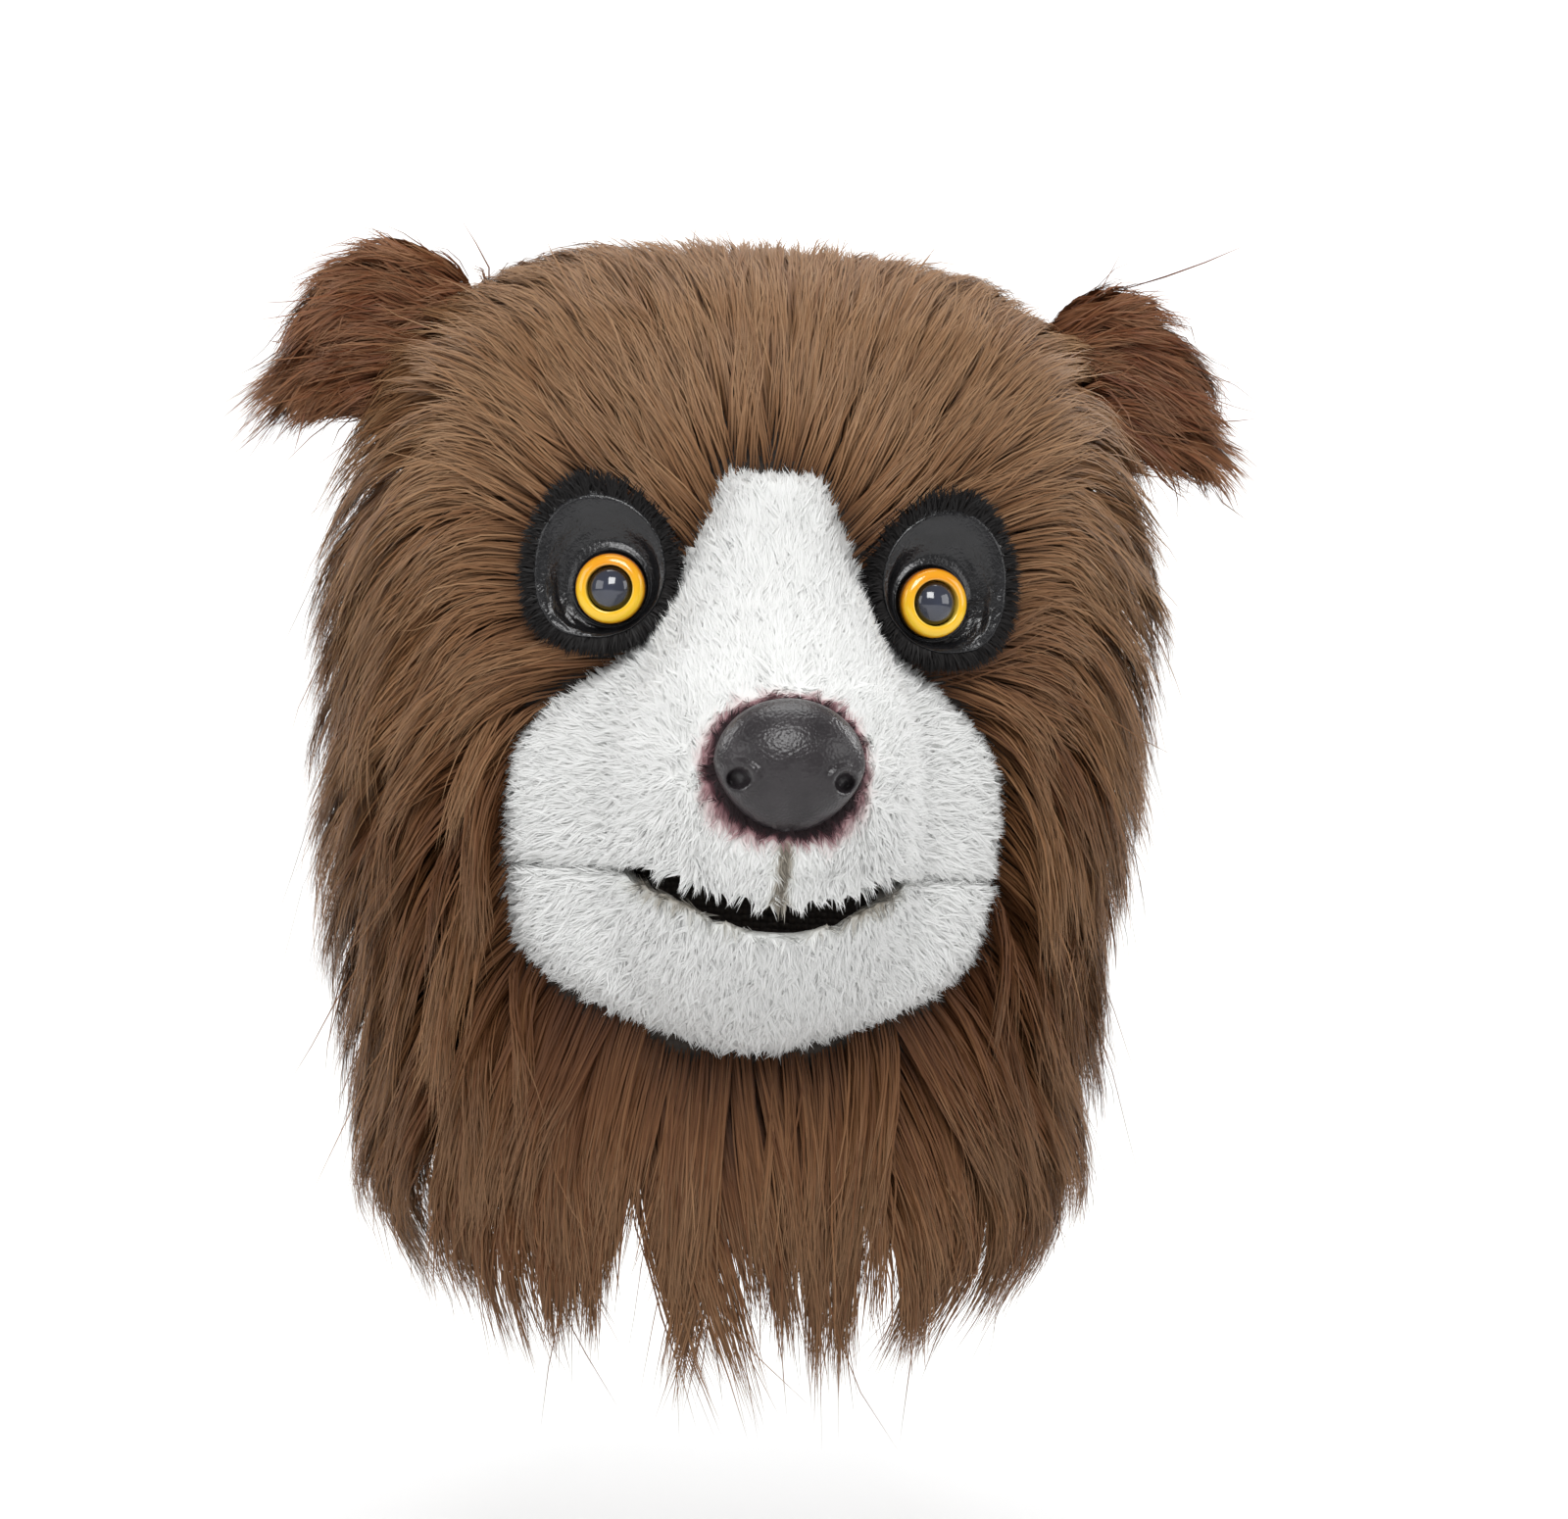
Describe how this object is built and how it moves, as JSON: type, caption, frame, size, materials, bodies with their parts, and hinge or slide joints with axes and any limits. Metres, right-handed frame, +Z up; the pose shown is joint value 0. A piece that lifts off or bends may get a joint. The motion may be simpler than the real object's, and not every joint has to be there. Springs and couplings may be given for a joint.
{
  "type": "bear mask",
  "caption": "Pull-over bear head mask: hollow hood under long brown faux fur, white plush muzzle and jaw, rubber nose, glossy eyes in black sockets, round ears.",
  "frame": {"origin": "the inner top of the hood, where the top of the wearer's head rests (mount head_seat)", "axes": "+Z up, the face looks along -Y, +X is the wearer's left"},
  "size_m": [0.2993, 0.2794, 0.3497],
  "materials": {
    "backing": "dark knitted backing cloth",
    "brown_fur": "long silky brown faux fur in locks",
    "white_plush": "short white plush",
    "nose_rubber": "black, pebbled, half gloss",
    "socket_gloss": "black, wrinkled, gloss",
    "iris_yellow": "yellow, gloss",
    "pupil_dark": "dark blue grey, gloss"
  },
  "bodies": {
    "root": {"hood": "backing", "fur_crown": "brown_fur", "fur_side_left": "brown_fur", "fur_side_right": "brown_fur", "fur_beard": "brown_fur", "fur_back": "brown_fur", "ear_left": "brown_fur", "ear_right": "brown_fur", "muzzle": "white_plush", "jaw": "white_plush", "nose": "nose_rubber", "eye_socket_left": "socket_gloss", "eye_socket_right": "socket_gloss", "iris_left": "iris_yellow", "iris_right": "iris_yellow", "pupil_left": "pupil_dark", "pupil_right": "pupil_dark"}
  },
  "joints": []
}
